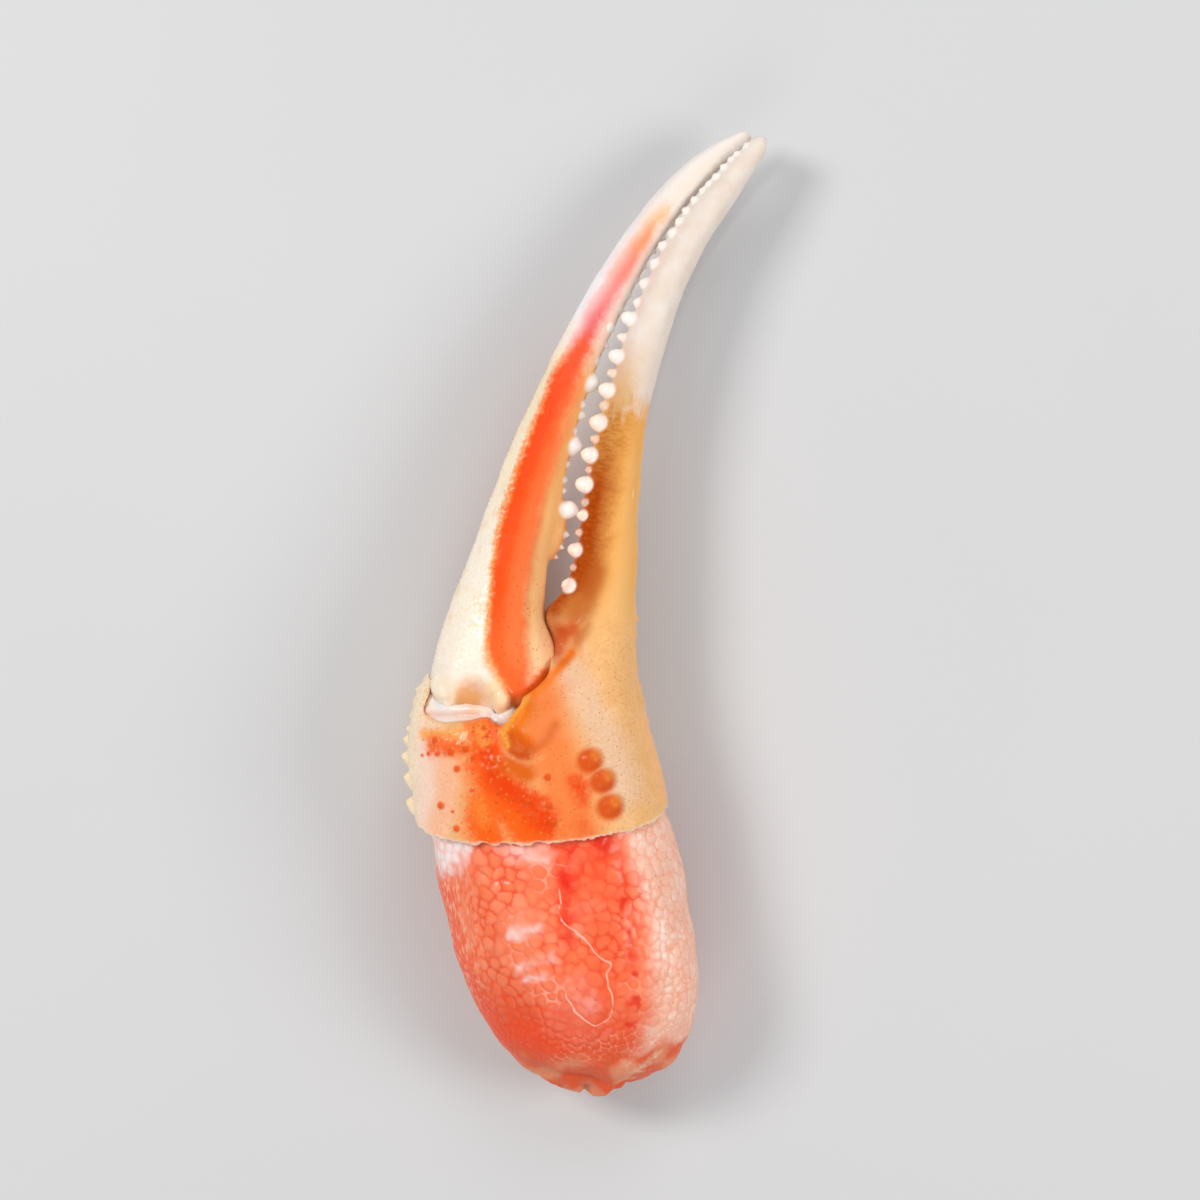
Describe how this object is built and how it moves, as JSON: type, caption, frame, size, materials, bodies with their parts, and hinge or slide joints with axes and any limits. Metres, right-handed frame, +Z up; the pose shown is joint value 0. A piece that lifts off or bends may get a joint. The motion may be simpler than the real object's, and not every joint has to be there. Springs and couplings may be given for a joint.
{
  "type": "snow crab claw",
  "caption": "Cooked snow crab claw lying on its inner face, curved fingers slightly open, lower palm shell cut away so the red-veined meat shows.",
  "frame": {"origin": "centre of the claw's bounding box, at the table under its inner face", "axes": "+Y from the meat end to the finger tips, +Z up out of the claw's outer face, +X from the moving finger's side to the fixed finger's side"},
  "size_m": [0.038, 0.1104, 0.0213],
  "materials": {
    "palm_shell": "cooked shell: orange and cream with pimples, tan and white fixed finger, wet gloss",
    "dactyl": "cooked shell: red-orange band beside a granular cream strip, white tip, wet gloss",
    "meat": "moist meat with an orange-red netted skin, pale along one side",
    "joint_membrane": "thin pinkish-white joint skin, wet"
  },
  "bodies": {
    "root": {"palm_shell": "palm_shell", "dactyl": "dactyl", "meat": "meat", "joint_membrane": "joint_membrane"}
  },
  "joints": []
}
